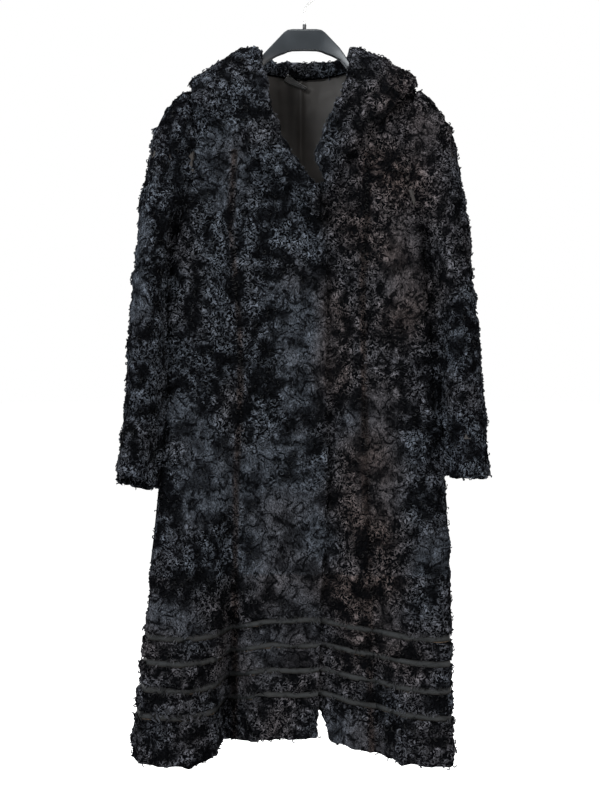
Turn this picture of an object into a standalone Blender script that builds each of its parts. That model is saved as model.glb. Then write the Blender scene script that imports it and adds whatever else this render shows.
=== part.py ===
"""A long curly-lamb coat with a broad shawl collar, held by a moulded hanger.

Tables are in millimetres and the scene is in metres. Z is up, and z is 0 under the top of the hook's
bend. The coat faces -Y, and the wearer's right is at -X.
"""

import functools
import math

import bmesh
import bpy
import numpy as np

MM = 0.001
GAP = 0.4
FUR_WALL = 9.0
GROOVE = 6.6
TAPE_WALL = 1.3
TAPE_LIP = 1.5
LINING_WALL = 1.2
ROUNDNESS = 2.6
RING_STEPS = 90
PROBE = 1.5
BODY_TOP = -137.0
HEM = -1250.0
RIGHT, LEFT = -1, 1

# Half widths of the body to the wearer's right and left.
WIDTHS = np.array([
    # z, right, left
    (BODY_TOP, 92, 90),
    (-147, 110, 108),
    (-158, 131, 130),
    (-171, 150, 147),
    (-183, 166, 162),
    (-195, 181, 176),
    (-208, 191, 184),
    (-230, 200, 189),
    (-260, 205, 191),
    (-330, 209, 193),
    (-418, 213, 194),
    (-470, 217, 202.8),
    (-540, 218.5, 210),
    (-612, 218.6, 214),
    (-700, 221.5, 219.8),
    (-763, 226.6, 221),
    (-811, 231.4, 223),
    (-860, 235, 228),
    (-920, 242, 233),
    (-1000, 251, 235.5),
    (-1070, 258, 236),
    (-1130, 264, 237),
    (-1190, 273, 238),
    (HEM, 276, 236),
], float)

# Front to back at the centre, the y of its middle, and how far the sides come forward.
DEPTHS = np.array([
    # z, depth, middle, wrap
    (BODY_TOP, 108, 6, 8),
    (-194, 122, 2, 42),
    (-300, 128, -4, 46),
    (-418, 130, -6, 50),
    (-700, 136, -2, 62),
    (-860, 148, 6, 80),
    (-1070, 160, 18, 108),
    (HEM, 168, 30, 128),
], float)

# Folds that run down the cloth. The place is round the body from the centre front (or back, to the left).
FOLDS = [
    # on the back, place at the start, place at the hem, half width, start z, depth at the hem, power
    (False, -104, -112, 17, -420, -78, 3.2),
    (False, -185, -195, 42, -700, 14, 1.5),
    (False, -55, -50, 30, -900, -8, 1.2),
    (False, -160, -150, 26, -480, -6, 0.7),
    (False, 92, 118, 13, -330, -8, 0.6),
    (False, 60, 70, 30, -700, 6, 1.0),
    (False, 150, 165, 28, -600, 11, 1.2),
    (True, 0, 0, 34, -350, 9, 1.0),
    (True, 62, 88, 26, -500, -18, 1.3),
    (True, -70, -95, 24, -450, -21, 1.3),
    (True, 150, 175, 24, -560, -12, 1.2),
    (True, -150, -185, 26, -620, -14, 1.2),
]

# How much lower the hem hangs, by share of the way round from the centre front to the centre back.
DROP_FROM = -600.0
DROPS = {
    RIGHT: np.array([
        # share, drop
        (0, 0), (0.12, 0), (0.2, 20), (0.3, 27), (0.4, 20), (0.5, 6), (0.75, -6), (1, -20),
    ], float),
    LEFT: np.array([
        (0, -10), (0.1, 4), (0.25, 20), (0.35, 26), (0.45, 20), (0.5, 12), (0.75, -6), (1, -20),
    ], float),
}
NECK_DIP = 12.0

# The fronts' free edges, by x.
RIGHT_EDGE = np.array([
    # z, x
    (BODY_TOP, -86), (-145, -83), (-176, -75), (-208, -66), (-247, -55.5), (-290, -41.8), (-330, -16.3),
    (-362, 12), (-388, 22), (-404, 27), (-420, 29), (-445, 34), (-905, 35), (-960, 28), (-1120, 23), (HEM, 18),
], float)
LEFT_EDGE = np.array([
    # z, x
    (BODY_TOP, 84), (-145, 82), (-176, 78), (-208, 67), (-250, 50), (-290, 34.5), (-310, 29),
    (-322, 32), (-345, 39), (-360, 4), (-385, -18), (-905, -18), (-1050, -8), (-1150, 6), (-1200, 20),
    (-1222, 33), (HEM, 36),
], float)
LAP_REACH, LAP_FLAT, LAP_BLEND = 90.0, 18.0, 34.0

# The seams down the fronts, by distance round from the centre front.
RIGHT_SEAM = np.array([
    (BODY_TOP, 104), (-200, 108), (-420, 113), (-560, 112), (-620, 102), (-700, 101), (-780, 106),
    (-1000, 108), (HEM, 112),
], float)
LEFT_SEAM = np.array([(BODY_TOP, 101), (-200, 105), (-418, 97), (-560, 93), (-1000, 106), (HEM, 118)], float)
SEAM_CLEAR = 7.0

ARMHOLE_TOP, ARMHOLE_LOW = -208.0, -418.0
ARMHOLE_FRONT, ARMHOLE_BACK = 44.0, 42.0

# The leather tapes let into the fur near the hem.
TAPES = [
    # top z, height
    (-1052, 13),
    (-1090, 13),
    (-1131, 13),
    (-1171, 13),
]

BODY_ROWS = [
    BODY_TOP, -145, -154, -164, -176, -188, -198, ARMHOLE_TOP, -226, -250, -285, -318, -345, -360,
    -382, -402, ARMHOLE_LOW, -440, -475, -530, -620, -720, -820, -910, -990, -1030,
]
HEM_ROWS = [-1202, -1225, HEM]

# Sleeve sections below the armhole. x is outwards, rise lifts the front edge and fall drops the inner one.
SLEEVES = {
    RIGHT: np.array([
        # z, middle x, middle y, half width, half depth, rise, fall
        (-470, 245, -62, 28, 60, 0, 0),
        (-540, 249, -64, 30.4, 62, 0, 0),
        (-612, 252.5, -66, 33.6, 64, 0, 0),
        (-700, 255, -70, 33, 65, 0, 0),
        (-763, 262, -74, 33, 66, 4, 2),
        (-811, 266.5, -77, 34.8, 67, 8, 5),
        (-830, 267.5, -78, 33.4, 67, 10, 7),
    ], float),
    LEFT: np.array([
        (-470, 236, -62, 33, 60, 0, 0),
        (-540, 242, -64, 32, 62, 0, 0),
        (-612, 249, -66, 34.4, 64, 0, 0),
        (-700, 255, -70, 34.5, 65, 0, 0),
        (-763, 257.5, -74, 35.4, 66, -1, 0),
        (-800, 260, -76, 36.5, 67, -3, 0),
        (-818, 259.5, -77, 35.5, 67, -4, 0),
    ], float),
}
SLEEVE_SIDES = 18
SLEEVE_HEAD_STEPS = 6
SLEEVE_ROUNDNESS = 2.25
SLEEVE_GAP = 2.4
SLEEVE_LEAD, SLEEVE_FALL = 0.78, -0.2

# The collar, from the centre back to the front tip: where it leaves the neck edge, and its outer edge.
# The levels are out from the fur's tips: under is the top of the return and inner its face. The air is
# how far the fold stands off the edge, and the stand is how full it is.
COLLAR_WALL = 11.5
COLLAR_LIFT = 2.4
COLLAR_STEP = 0.5
COLLARS = {
    RIGHT: [
        # on the back, neck x, neck z, edge on the back, edge x, edge z, return, under, inner, air, stand
        (True, 0.3, -137, True, 0.3, -238, 12, -11.6, -18.5, 8, 3),
        (True, 30, -137, True, 48, -238, 12, -11.6, -18.5, 8, 4),
        (True, 58, -137, True, 95, -234, 12, -11.6, -17.5, 7, 5),
        (True, 80, -137, True, 142, -222, 8, -11.4, -15.5, 8, 5),
        (True, 91.5, -137, True, 178, -193, 3, -10.2, -12.6, 8, 3),
        (False, 88, -138, False, 182, -205, 3, -10.2, -12.6, 8, 3),
        (False, 84, -144, False, 172, -222, 4, -10.6, -14.5, 6, 4),
        (False, 79, -160, False, 158, -240, 5, -10.6, -15, 3, 4),
        (False, 74, -180, False, 140, -258, 5, -10.6, -15, 3, 3),
        (False, 66, -208, False, 120, -277, 5, -10.6, -15, 3, 2),
        (False, 55, -247, False, 95, -303, 5, -10.6, -14.5, 3, 1),
        (False, 40, -290, False, 66, -328, -1, -10.2, -12.6, 3, 0),
        (False, 16, -328, False, 38, -352, -1, -7.4, -7.9, 2, 0),
        (False, -13, -360, False, 10, -377, -1, -7.4, -7.9, 2, 0),
        (False, -22, -388, False, -8, -399, -1, -7.4, -7.9, 2, 0),
        (False, -27, -406, False, -21, -412, -1, -6.5, -7, 2, -2),
    ],
    LEFT: [
        (True, 0.3, -137, True, 0.3, -238, 12, -11.6, -18.5, 8, 3),
        (True, 30, -137, True, 48, -238, 12, -11.6, -18.5, 8, 4),
        (True, 57, -137, True, 93, -234, 12, -11.6, -17.5, 7, 5),
        (True, 78, -137, True, 138, -222, 8, -11.4, -15.5, 8, 5),
        (True, 89.5, -137, True, 173, -193, 3, -10.2, -12.6, 8, 3),
        (False, 86, -138, False, 175, -203, 3, -10.2, -12.6, 8, 3),
        (False, 83, -144, False, 164, -214, 4, -10.6, -14.5, 6, 4),
        (False, 80, -160, False, 150, -229, 5, -10.6, -15, 3, 4),
        (False, 76, -182, False, 132, -248, 5, -10.6, -15, 3, 3),
        (False, 67, -212, False, 110, -268, 5, -10.6, -15, 3, 2),
        (False, 51, -248, False, 86, -291, 5, -10.6, -14.5, 3, 1),
        (False, 35, -286, False, 67, -320, -1, -10.2, -12.6, 3, 0),
        (False, 26, -316, False, 60, -336, -1, -7.4, -7.9, 2, 0),
        (False, 36, -339, False, 55, -348, -2, 3.2, 2.6, 1, 0),
        (False, 46, -360, False, 51, -362, -2, 3.6, 3.0, 1, -2),
    ],
}

LOOP_DEPTH = 19.8
LINING_TOP, LINING_LOW = -150.0, -535.0

# The hanger, from its middle to the end of an arm.
HANGER = [
    # x, top z, height, y, half depth
    (0, -88.5, 34, 0, 7),
    (20, -88.5, 34.5, 0, 7),
    (28, -89.8, 35, 0, 7),
    (34, -94, 33.5, 0, 7),
    (45, -106, 26, -2, 7),
    (58, -120.5, 19, -5, 7),
    (68, -132, 17, -8, 7),
    (75, -144, 16, -10, 7.5),
    (80, -151, 15, -12, 8.5),
    (88, -156, 14, -14, 10),
    (105, -161, 14, -19, 11.5),
    (128, -170.5, 14, -27, 13),
    (147, -185.5, 14, -34, 15),
    (160, -197, 13, -38, 15),
    (163, -200, 12, -39, 13),
]
HANGER_WALL = 2.6
LEFT_ARM_REACH = 0.965

WIRE = 1.6
BEND = 23.6
FERRULE = 3.0


def smooth(table, at, column=1):
    """The value of a table's column at this height, on a smooth curve through its rows."""
    order = np.argsort(table[:, 0])
    xs, ys = table[order, 0], table[order, column]
    at = min(max(at, xs[0]), xs[-1])
    k = min(int(np.searchsorted(xs, at, side="right")) - 1, len(xs) - 2)
    slopes = np.gradient(ys, xs)
    width = xs[k + 1] - xs[k]
    t = (at - xs[k]) / width
    start = (2 * t**3 - 3 * t**2 + 1) * ys[k] + (t**3 - 2 * t**2 + t) * width * slopes[k]
    end = (3 * t**2 - 2 * t**3) * ys[k + 1] + (t**3 - t**2) * width * slopes[k + 1]
    return start + end


def straight(table, at, column=1):
    """The value of a table's column at this height, on straight lines between its rows."""
    order = np.argsort(table[:, 0])
    return float(np.interp(at, table[order, 0], table[order, column]))


def ease(t):
    t = min(max(t, 0.0), 1.0)
    return t * t * (3 - 2 * t)


@functools.lru_cache(maxsize=None)
def ring(side, z):
    """The plan of half the body at this height, from the centre front to the centre back."""
    half = smooth(WIDTHS, z, 1 if side == RIGHT else 2)
    depth, middle, wrap = (smooth(DEPTHS, z, column) for column in (1, 2, 3))
    turn = np.linspace(0, math.pi, RING_STEPS + 1)
    across = np.sin(turn).clip(0) ** (2 / ROUNDNESS)
    along = np.sign(np.cos(turn)) * np.abs(np.cos(turn)) ** (2 / ROUNDNESS)
    x = half * across
    y = middle - depth / 2 * along - wrap * across**2
    reach = np.concatenate([[0], np.cumsum(np.hypot(np.diff(x), np.diff(y)))])
    return reach, x, y


def whole(side, z):
    return ring(side, z)[0][-1]


def to_side(side, z):
    """The distance round from the centre front to the side."""
    return ring(side, z)[0][RING_STEPS // 2]


def round_to(side, z, x, on_back=False):
    """The distance round from the centre front to where the body is this far out."""
    reach, xs, _ = ring(side, z)
    half = RING_STEPS // 2
    if on_back:
        return float(np.interp(x, xs[half:][::-1], reach[half:][::-1]))
    return float(np.interp(x, xs[: half + 1], reach[: half + 1]))


def edge_at(table, z):
    """The signed distance round of a front's free edge."""
    x = straight(table, z)
    side = RIGHT if x < 0 else LEFT
    return side * round_to(side, z, abs(x))


def fold_depth(around, z, total, side):
    """How far the folds move the cloth out at this place."""
    from_back = side * (total - abs(around))
    out = 0.0
    for on_back, top, low, width, start, depth, power in FOLDS:
        if z > start:
            continue
        down = (start - z) / (start - HEM)
        place = top + (low - top) * down
        off = (from_back if on_back else around) - place
        out += depth * down**power * math.exp(-((off / width) ** 2))
    return out


def drop(share, z, side):
    """How far the cloth hangs below its row."""
    down = max(0.0, (DROP_FROM - z) / (DROP_FROM - HEM))
    dip = NECK_DIP * ease((share - 0.6) / 0.4) * ease((z + 205) / 70)
    return smooth(DROPS[side], share) * down + dip


def cloth(around, z, under=None):
    """A point on the fur's tips, by signed distance round from the centre front and by height."""
    right, left = whole(RIGHT, z), whole(LEFT, z)
    if around > left:
        around -= left + right
    if around < -right:
        around += left + right
    side = RIGHT if around < 0 else LEFT
    reach, xs, ys = ring(side, z)
    place = abs(around)
    before, after = max(place - 2, 0), min(place + 2, reach[-1])
    along = np.array([
        np.interp(after, reach, xs) - np.interp(before, reach, xs),
        np.interp(after, reach, ys) - np.interp(before, reach, ys),
    ])
    along /= np.linalg.norm(along)
    out = fold_depth(around, z, reach[-1], side)
    if under:
        out -= under(around, z)
    x = np.interp(place, reach, xs) + out * along[1]
    y = np.interp(place, reach, ys) - out * along[0]
    return np.array([side * x, y, z - drop(place / reach[-1], z, side)])


def outward(around, z, under=None):
    across = cloth(around + PROBE, z, under) - cloth(around - PROBE, z, under)
    up = cloth(around, min(z + PROBE, BODY_TOP), under) - cloth(around, z - PROBE, under)
    normal = np.cross(across, up)
    return normal / np.linalg.norm(normal)


def at_depth(around, z, depth, under=None):
    """A point this far in from the fur's tips."""
    return cloth(around, z, under) - depth * outward(around, z, under)


def under_lap(around, z):
    """How far the left front lies under the right one."""
    if around < -LAP_REACH:
        return 0.0
    edge = edge_at(RIGHT_EDGE, z)
    return (FUR_WALL + 4 * GAP) * (1 - ease((around - edge - LAP_FLAT) / LAP_BLEND))


def armhole(z, half):
    """Half the width of the armhole at this height."""
    middle = (ARMHOLE_TOP + ARMHOLE_LOW) / 2
    reach = (ARMHOLE_TOP - ARMHOLE_LOW) / 2
    return half * math.sqrt(max(0.0, 1 - ((z - middle) / reach) ** 2))


def seam_at(table, side, z):
    """The distance round of a front's seam, kept off its edge and its side."""
    edge = abs(edge_at(RIGHT_EDGE if side == RIGHT else LEFT_EDGE, z)) if z > -300 else 0
    outer = to_side(side, z) - armhole(z, ARMHOLE_FRONT)
    return min(max(straight(table, z), edge + SEAM_CLEAR), outer - SEAM_CLEAR)


def front_side(side, z):
    return to_side(side, z) - armhole(z, ARMHOLE_FRONT) - GAP / 2


def back_side(side, z):
    return to_side(side, z) + armhole(z, ARMHOLE_BACK) + GAP / 2


# Each panel's two side edges, by signed distance round.
PANELS = {
    # name: start, end, columns, which edge they crowd to, what it lies under
    "right_front": (
        lambda z: -seam_at(RIGHT_SEAM, RIGHT, z) + GAP / 2,
        lambda z: edge_at(RIGHT_EDGE, z),
        8, -1, None,
    ),
    "right_side_front": (
        lambda z: -front_side(RIGHT, z),
        lambda z: -seam_at(RIGHT_SEAM, RIGHT, z) - GAP / 2,
        9, 1, None,
    ),
    "left_front": (
        lambda z: edge_at(LEFT_EDGE, z),
        lambda z: seam_at(LEFT_SEAM, LEFT, z) - GAP / 2,
        7, 0, under_lap,
    ),
    "left_side_front": (
        lambda z: seam_at(LEFT_SEAM, LEFT, z) + GAP / 2,
        lambda z: front_side(LEFT, z),
        8, 0, under_lap,
    ),
    "back": (
        lambda z: back_side(LEFT, z),
        lambda z: whole(LEFT, z) + whole(RIGHT, z) - back_side(RIGHT, z),
        18, 0, None,
    ),
}


def columns_of(name, z):
    """Where a panel's columns stand at this height."""
    start, end, count, crowd, _ = PANELS[name]
    share = np.linspace(0, 1, count + 1)
    if crowd < 0:
        share = share**1.5
    if crowd > 0:
        share = 1 - (1 - share) ** 1.5
    return start(z) + (end(z) - start(z)) * share


def grid_rows(name, rows, depth):
    under = PANELS[name][4]
    return [[at_depth(a, z, depth, under) for a in columns_of(name, z)] for z in rows]


def add_object(name, points, faces, material, sharp=35):
    """A closed mesh from points in millimetres."""
    mesh = bpy.data.meshes.new(name)
    mesh.from_pydata([tuple(p * MM) for p in np.asarray(points, float)], [], faces)
    fill = bmesh.new()
    fill.from_mesh(mesh)
    bmesh.ops.recalc_face_normals(fill, faces=fill.faces)
    fill.to_mesh(mesh)
    fill.free()
    mesh.shade_smooth()
    mesh.set_sharp_from_angle(angle=math.radians(sharp))
    mesh.materials.append(material)
    obj = bpy.data.objects.new(name, mesh)
    PARTS.objects.link(obj)
    return obj


def wall_between(name, outer, inner, kept, material):
    """A wall from an outer grid and a plainer inner one. kept lists the outer rows that have an inner row."""
    wide = len(outer[0])
    points = [p for row in outer for p in row] + [p for row in inner for p in row]
    base = len(outer) * wide

    def out(i, j):
        return i * wide + j

    def into(i, j):
        return base + i * wide + j

    faces = []
    for i in range(len(outer) - 1):
        for j in range(wide - 1):
            faces.append((out(i, j), out(i + 1, j), out(i + 1, j + 1), out(i, j + 1)))
    for i in range(len(inner) - 1):
        for j in range(wide - 1):
            faces.append((into(i, j), into(i, j + 1), into(i + 1, j + 1), into(i + 1, j)))
        for j in (0, wide - 1):
            run = [out(k, j) for k in range(kept[i], kept[i + 1] + 1)]
            faces.append(tuple(run + [into(i + 1, j), into(i, j)]))
    for i, k in ((0, 0), (len(inner) - 1, len(outer) - 1)):
        for j in range(wide - 1):
            faces.append((out(k, j), out(k, j + 1), into(i, j + 1), into(i, j)))
    return add_object(name, points, faces, material)


def build_panel(name, material):
    rows = [(z, 0.0, True) for z in BODY_ROWS]
    for top, height in TAPES:
        rows += [(top, 0.0, True), (top - TAPE_LIP, GROOVE, False)]
        rows += [(top - height + TAPE_LIP, GROOVE, False), (top - height, 0.0, False)]
    rows += [(z, 0.0, True) for z in HEM_ROWS]
    under = PANELS[name][4]
    outer = [[at_depth(a, z, sunk, under) for a in columns_of(name, z)] for z, sunk, _ in rows]
    kept = [i for i, row in enumerate(rows) if row[2]]
    inner = grid_rows(name, [rows[i][0] for i in kept], FUR_WALL)
    wall_between(name, outer, inner, kept, material)


def build_tape(name, panel, top, height, material):
    rows = [top - TAPE_LIP - GAP, top - height + TAPE_LIP + GAP]
    outer = grid_rows(panel, rows, GROOVE - GAP - TAPE_WALL)
    inner = grid_rows(panel, rows, GROOVE - GAP)
    wall_between(name, outer, inner, [0, 1], material)


def build_lining(material):
    rows = [z for z in BODY_ROWS if LINING_LOW < z < LINING_TOP]
    outer = grid_rows("back", rows, FUR_WALL + GAP)
    inner = grid_rows("back", rows, FUR_WALL + GAP + LINING_WALL)
    wall_between("back_lining", outer, inner, list(range(len(rows))), material)


def armhole_point(side, turn, grow):
    """A point on the body round the armhole. The turn is 0 at the front and a quarter at the top."""
    middle = (ARMHOLE_TOP + ARMHOLE_LOW) / 2
    tall = (ARMHOLE_TOP - ARMHOLE_LOW) / 2 + grow
    z = middle + tall * math.sin(turn)
    wide = (ARMHOLE_FRONT if math.cos(turn) > 0 else ARMHOLE_BACK) + grow
    around = side * (to_side(side, z) - wide * math.cos(turn))
    under = under_lap if side == LEFT else None
    return at_depth(around, z, -SLEEVE_GAP, under), outward(around, z, under)


def sleeve_point(side, row, turn, wall):
    """A point on a sleeve section, in by the wall."""
    z, out, y, wide, deep, rise, fall = row
    front = math.copysign(abs(math.cos(turn)) ** (2 / SLEEVE_ROUNDNESS), math.cos(turn))
    top = math.copysign(abs(math.sin(turn)) ** (2 / SLEEVE_ROUNDNESS), math.sin(turn))
    lift = rise * front + (fall * top if top < 0 else 0)
    return np.array([side * (out + (wide - wall) * top), y - (deep - wall) * front, z + lift])


def build_sleeve(name, side, material):
    sections = SLEEVES[side]
    turns = np.linspace(0, 2 * math.pi, SLEEVE_SIDES, endpoint=False)
    skins = []
    for wall, grow in ((0.0, FUR_WALL + GAP), (FUR_WALL, GAP)):
        rows = []
        for step in range(SLEEVE_HEAD_STEPS):
            t = (step / SLEEVE_HEAD_STEPS) ** 1.2
            row = []
            for turn in turns:
                start, normal = armhole_point(side, turn, grow)
                end = sleeve_point(side, sections[0], turn, wall)
                far = np.linalg.norm(end - start)
                lead = 0.4 * normal * [1, 1, 0] + np.array([0.6 * side, 0, SLEEVE_FALL])
                lead *= SLEEVE_LEAD * far / np.linalg.norm(lead)
                trail = np.array([0.12 * side, 0, -1.0]) * far
                row.append(
                    (2 * t**3 - 3 * t**2 + 1) * start
                    + (t**3 - 2 * t**2 + t) * lead
                    + (3 * t**2 - 2 * t**3) * end
                    + (t**3 - t**2) * trail
                )
            rows.append(row)
        rows += [[sleeve_point(side, row, turn, wall) for turn in turns] for row in sections]
        skins.append(rows)
    count, long = SLEEVE_SIDES, len(skins[0])
    points = [p for rows in skins for row in rows for p in row]

    def at(skin, i, j):
        return (skin * long + i) * count + j % count

    faces = []
    for j in range(count):
        for i in range(long - 1):
            faces.append((at(0, i, j), at(0, i + 1, j), at(0, i + 1, j + 1), at(0, i, j + 1)))
            faces.append((at(1, i, j), at(1, i, j + 1), at(1, i + 1, j + 1), at(1, i + 1, j)))
        for i in (0, long - 1):
            faces.append((at(0, i, j), at(0, i, j + 1), at(1, i, j + 1), at(1, i, j)))
    add_object(name, points, faces, material)


def turn_at(side, on_back, x, z):
    """How far round a section this place is: 0 at the centre front, and pi at the centre back."""
    which = RIGHT if side * x < 0 else LEFT
    half = smooth(WIDTHS, z, 1 if which == RIGHT else 2)
    turn = math.copysign(math.asin(min(abs(x) / half, 1) ** (ROUNDNESS / 2)), x)
    return math.pi - turn if on_back else turn


def collar_section(side, neck_turn, neck_z, edge_turn, edge_z, run, low, inner, air, stand):
    """The closed outline of the collar at one station: the leaf, over the neck edge, and its return."""
    under = under_lap if side == LEFT else None

    def spot(share, level):
        z = neck_z + (edge_z - neck_z) * share
        around = side * angle_round(side, z, neck_turn + (edge_turn - neck_turn) * share)
        return at_depth(around, z, -level, under)

    edge = spot(0, 0)
    normal = spot(0, 1) - edge
    long = np.linalg.norm(spot(1, 0) - edge)
    into = edge - spot(min(8 / long, 1), 0)
    into -= normal * np.dot(into, normal)
    into /= np.linalg.norm(into)

    def beyond(off, level):
        return edge + into * off + normal * level

    def inside(level):
        return spot(min(run / long, 0.8), level) if run > 0 else beyond(-run, level)

    top = COLLAR_LIFT + COLLAR_WALL
    full = top + stand
    line = [inside(inner), inside(low), beyond(max(air, 0.6), low), beyond(max(air, 0.6), COLLAR_LIFT)]
    line += [spot(s, COLLAR_LIFT) for s in (0, 0.2, 0.4, 0.6, 0.8)]
    line += [spot(0.99, 2.8), spot(1, 0.7 * top), spot(0.95, top)]
    for s in (0.78, 0.55, 0.32, 0.12):
        line.append(spot(s, top + 1.5 * math.sin(math.pi * s) + stand * (1 - s) ** 2))
    line += [beyond(air + 0.35 * COLLAR_WALL, full)]
    line += [beyond(air + 0.8 * COLLAR_WALL, 0.8 * full + 0.2 * low)]
    line += [beyond(air + COLLAR_WALL, 0.45 * full + 0.55 * low)]
    line += [beyond(air + 0.85 * COLLAR_WALL, 0.1 * full + 0.9 * inner)]
    line += [beyond(max(air, 0.6) + 0.2 * COLLAR_WALL, inner)]
    return line


def angle_round(side, z, turn):
    """The distance round, from the centre front, at this turn of a section. It may pass the centre."""
    other = LEFT if side == RIGHT else RIGHT
    which = side if turn >= 0 else other
    reach = ring(which, z)[0]
    place = float(np.interp(abs(turn) / math.pi * RING_STEPS, np.arange(RING_STEPS + 1), reach))
    return math.copysign(place, turn)


def loft(name, sections, material):
    """A body through closed outlines with as many points each."""
    count = len(sections[0])
    points = [p for section in sections for p in section]
    faces = [tuple(range(count)), tuple(range((len(sections) - 1) * count, len(sections) * count))]
    for i in range(len(sections) - 1):
        for j in range(count):
            k = (j + 1) % count
            faces.append((i * count + j, i * count + k, (i + 1) * count + k, (i + 1) * count + j))
    add_object(name, points, faces, material)


def build_collar(name, side, material):
    table = np.array([
        (i, turn_at(side, on_back, x, z), z, turn_at(side, edge_back, edge_x, edge_z), edge_z, *rest)
        for i, (on_back, x, z, edge_back, edge_x, edge_z, *rest) in enumerate(COLLARS[side])
    ])
    stations = np.arange(0, len(table) - 1 + COLLAR_STEP, COLLAR_STEP)
    sections = [collar_section(side, *(smooth(table, i, k) for k in range(1, 10))) for i in stations]
    for point in sections[0]:
        point[0] = side * GAP / 2
    loft(name, sections, material)


def build_loop(material):
    """The folded satin strip that the coat hangs by, across the back of the neck."""
    start, end = np.array([-34.0, -149.0]), np.array([4.0, -170.0])
    ridges = (0.0, 1.3, 0.4, 1.5, 0.4, 1.3, 0.0)
    sections = []
    for t in np.linspace(0, 1, 7):
        x, z = start + (end - start) * t
        wide = 8.0 - 4.0 * t
        across = np.array([0.48, 0.88])
        row = []
        for k, ridge in enumerate(ridges):
            px, pz = np.array([x, z]) + across * wide * (k / 3 - 1)
            side = RIGHT if px < 0 else LEFT
            around = side * round_to(side, pz, abs(px), on_back=True)
            row.append(at_depth(around, pz, LOOP_DEPTH + ridge))
        for k in range(len(ridges) - 1, -1, -1):
            row.append(row[k] + [0, 1.0 + ridges[k] * 0.4, 0])
        sections.append(row)
    loft("hanging_loop", sections, material)


def build_hanger(material):
    """A moulded arm each way from the middle, hollow below."""
    rows = [(-x, *rest) for x, *rest in HANGER[:0:-1]]
    rows += [(x * (LEFT_ARM_REACH if x > 60 else 1), *rest) for x, *rest in HANGER]
    sections = []
    for i, (x, top, tall, y, deep) in enumerate(rows):
        low = top - tall
        corner = min(3.5, deep * 0.4)
        roof = top - HANGER_WALL - 1
        if i in (0, len(rows) - 1):
            roof = low + 0.8
        side = deep - HANGER_WALL
        outline = [
            (y - deep, low), (y - deep, top - corner), (y - deep + corner, top), (y + deep - corner, top),
            (y + deep, top - corner), (y + deep, low), (y + side, low), (y + side, roof),
            (y - side, roof), (y - side, low),
        ]
        sections.append([np.array([x, py, pz]) for py, pz in outline])
    loft("hanger", sections, material)


def build_hook(material):
    """Steel wire, up from the hanger and round, open at the wearer's right."""
    line = [(0.0, -88.0), (0.0, -72.0), (0.0, -60.0)]
    start, end = np.array([0.0, -60.0]), np.array([0.5 * BEND, -22.0 - 0.866 * BEND])
    for t in (0.25, 0.5, 0.75):
        line.append(tuple(
            (2 * t**3 - 3 * t**2 + 1) * start
            + (t**3 - 2 * t**2 + t) * np.array([0.0, 24.0])
            + (3 * t**2 - 2 * t**3) * end
            + (t**3 - t**2) * np.array([20.0, 11.5])
        ))
    for degrees in np.linspace(-60, 216, 20):
        turn = math.radians(degrees)
        line.append((BEND * math.cos(turn), -22.0 + BEND * math.sin(turn)))
    curve = bpy.data.curves.new("hook", "CURVE")
    curve.dimensions = "3D"
    curve.bevel_depth = WIRE * MM
    curve.bevel_resolution = 2
    curve.use_fill_caps = True
    spline = curve.splines.new("POLY")
    spline.points.add(len(line) - 1)
    for point, (x, z) in zip(spline.points, line):
        point.co = (x * MM, 0, z * MM, 1)
    curve.materials.append(material)
    PARTS.objects.link(bpy.data.objects.new("hook", curve))


def build_ferrule(material):
    """The small sleeve where the wire enters the hanger."""
    bore = WIRE + 0.35
    profile = [(bore, -79.6), (FERRULE - 0.6, -79.6), (FERRULE, -80.4), (FERRULE, -88.1), (bore, -88.1)]
    mesh = bpy.data.meshes.new("ferrule")
    ends = [(i, (i + 1) % len(profile)) for i in range(len(profile))]
    mesh.from_pydata([(x * MM, 0, z * MM) for x, z in profile], ends, [])
    mesh.materials.append(material)
    obj = bpy.data.objects.new("ferrule", mesh)
    PARTS.objects.link(obj)
    screw = obj.modifiers.new("turn", "SCREW")
    screw.steps = screw.render_steps = 16
    screw.use_merge_vertices = True
    screw.merge_threshold = 0.00001
    screw.use_normal_calculate = True


def principled(name, color, roughness, metallic=0.0):
    material = bpy.data.materials.new(name)
    material.use_nodes = True
    shader = material.node_tree.nodes["Principled BSDF"]
    shader.inputs["Base Color"].default_value = (*color, 1)
    shader.inputs["Roughness"].default_value = roughness
    shader.inputs["Metallic"].default_value = metallic
    return material


for old in list(bpy.data.objects):
    bpy.data.objects.remove(old)
PARTS = bpy.data.collections.new("curly_lamb_coat")
bpy.context.scene.collection.children.link(PARTS)

fur_colors = {
    "right_front": (0.022, 0.024, 0.028),
    "right_side_front": (0.024, 0.026, 0.030),
    "left_front": (0.026, 0.024, 0.026),
    "left_side_front": (0.024, 0.024, 0.028),
    "back": (0.022, 0.023, 0.027),
}
for panel, color in fur_colors.items():
    build_panel(panel, principled(panel, color, 0.6))
for level, (top, height) in enumerate(TAPES, 1):
    for panel in fur_colors:
        name = f"{panel}_tape_{level}"
        build_tape(name, panel, top, height, principled(name, (0.045, 0.045, 0.048), 0.4))
build_sleeve("right_sleeve", RIGHT, principled("right_sleeve", (0.023, 0.025, 0.029), 0.6))
build_sleeve("left_sleeve", LEFT, principled("left_sleeve", (0.023, 0.024, 0.028), 0.6))
build_collar("right_collar", RIGHT, principled("right_collar", (0.025, 0.026, 0.030), 0.6))
build_collar("left_collar", LEFT, principled("left_collar", (0.025, 0.026, 0.029), 0.6))
build_lining(principled("back_lining", (0.048, 0.045, 0.042), 0.45))
build_loop(principled("hanging_loop", (0.02, 0.02, 0.022), 0.35))
build_hanger(principled("hanger", (0.03, 0.036, 0.04), 0.45))
build_hook(principled("hook", (0.62, 0.62, 0.6), 0.25, 1.0))
build_ferrule(principled("ferrule", (0.01, 0.01, 0.012), 0.5))
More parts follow.
